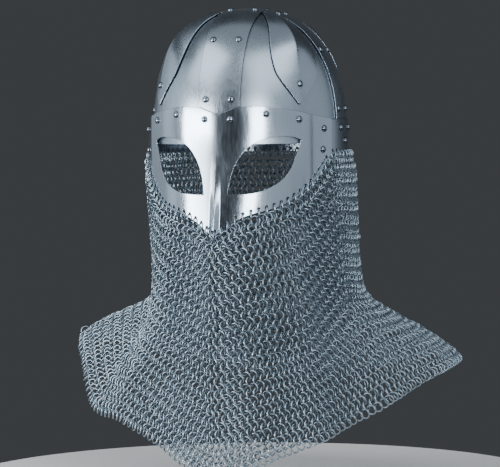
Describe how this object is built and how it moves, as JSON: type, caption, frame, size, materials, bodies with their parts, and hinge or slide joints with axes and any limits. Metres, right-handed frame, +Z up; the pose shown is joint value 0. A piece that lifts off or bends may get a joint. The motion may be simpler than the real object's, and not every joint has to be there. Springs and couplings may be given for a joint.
{
  "type": "viking spectacle helmet with a mail aventail",
  "caption": "Riveted steel spectacle helmet with crossed straps, leaf plates, an eye mask and a hanging mail curtain.",
  "frame": {"origin": "inside of the crown, where the helmet sits on the head", "axes": "+Z up; the face looks along -Y; +X is the wearer's left"},
  "size_m": [0.4117, 0.2929, 0.4768],
  "materials": {
    "panel_steel": "satin steel with faint vertical brushing",
    "strap_steel": "satin steel with faint brushing along the strap",
    "leaf_steel": "satin steel, keel polished",
    "band_steel": "satin steel",
    "mask_steel": "polished steel with faint vertical brushing",
    "rivet_steel": "polished steel domes",
    "mail_steel": "zinc-grey steel wire rings"
  },
  "bodies": {
    "root": {"aventail": "mail_steel", "crown_strap": "strap_steel", "leaf_back_left": "leaf_steel", "leaf_back_right": "leaf_steel", "leaf_front_left": "leaf_steel", "leaf_front_right": "leaf_steel", "mask": "mask_steel", "rim_band": "band_steel", "rivet_crown_low_back_left": "rivet_steel", "rivet_crown_low_back_right": "rivet_steel", "rivet_crown_low_front_left": "rivet_steel", "rivet_crown_low_front_right": "rivet_steel", "rivet_crown_middle_back_left": "rivet_steel", "rivet_crown_middle_back_right": "rivet_steel", "rivet_crown_middle_front_left": "rivet_steel", "rivet_crown_middle_front_right": "rivet_steel", "rivet_crown_top_back_left": "rivet_steel", "rivet_crown_top_back_right": "rivet_steel", "rivet_crown_top_front_left": "rivet_steel", "rivet_crown_top_front_right": "rivet_steel", "rivet_leaf_back_left": "rivet_steel", "rivet_leaf_back_right": "rivet_steel", "rivet_leaf_front_left": "rivet_steel", "rivet_leaf_front_right": "rivet_steel", "rivet_mask_brow_left": "rivet_steel", "rivet_mask_brow_right": "rivet_steel", "rivet_mask_cheek_low_left": "rivet_steel", "rivet_mask_cheek_low_right": "rivet_steel", "rivet_mask_cheek_top_left": "rivet_steel", "rivet_mask_cheek_top_right": "rivet_steel", "rivet_mask_temple_left": "rivet_steel", "rivet_mask_temple_right": "rivet_steel", "rivet_rim_back_left": "rivet_steel", "rivet_rim_back_right": "rivet_steel", "rivet_rim_front_left": "rivet_steel", "rivet_rim_front_right": "rivet_steel", "rivet_rim_left_back": "rivet_steel", "rivet_rim_left_front": "rivet_steel", "rivet_rim_right_back": "rivet_steel", "rivet_rim_right_front": "rivet_steel", "rivet_rim_single_left": "rivet_steel", "rivet_rim_single_right": "rivet_steel", "rivet_side_low_left_back": "rivet_steel", "rivet_side_low_left_front": "rivet_steel", "rivet_side_low_right_back": "rivet_steel", "rivet_side_low_right_front": "rivet_steel", "rivet_side_middle_left_back": "rivet_steel", "rivet_side_middle_left_front": "rivet_steel", "rivet_side_middle_right_back": "rivet_steel", "rivet_side_middle_right_front": "rivet_steel", "rivet_side_top_left_back": "rivet_steel", "rivet_side_top_left_front": "rivet_steel", "rivet_side_top_right_back": "rivet_steel", "rivet_side_top_right_front": "rivet_steel", "side_strap_left": "strap_steel", "side_strap_right": "strap_steel", "skull_panel_back_left": "panel_steel", "skull_panel_back_right": "panel_steel", "skull_panel_front_left": "panel_steel", "skull_panel_front_right": "panel_steel"}
  },
  "joints": []
}
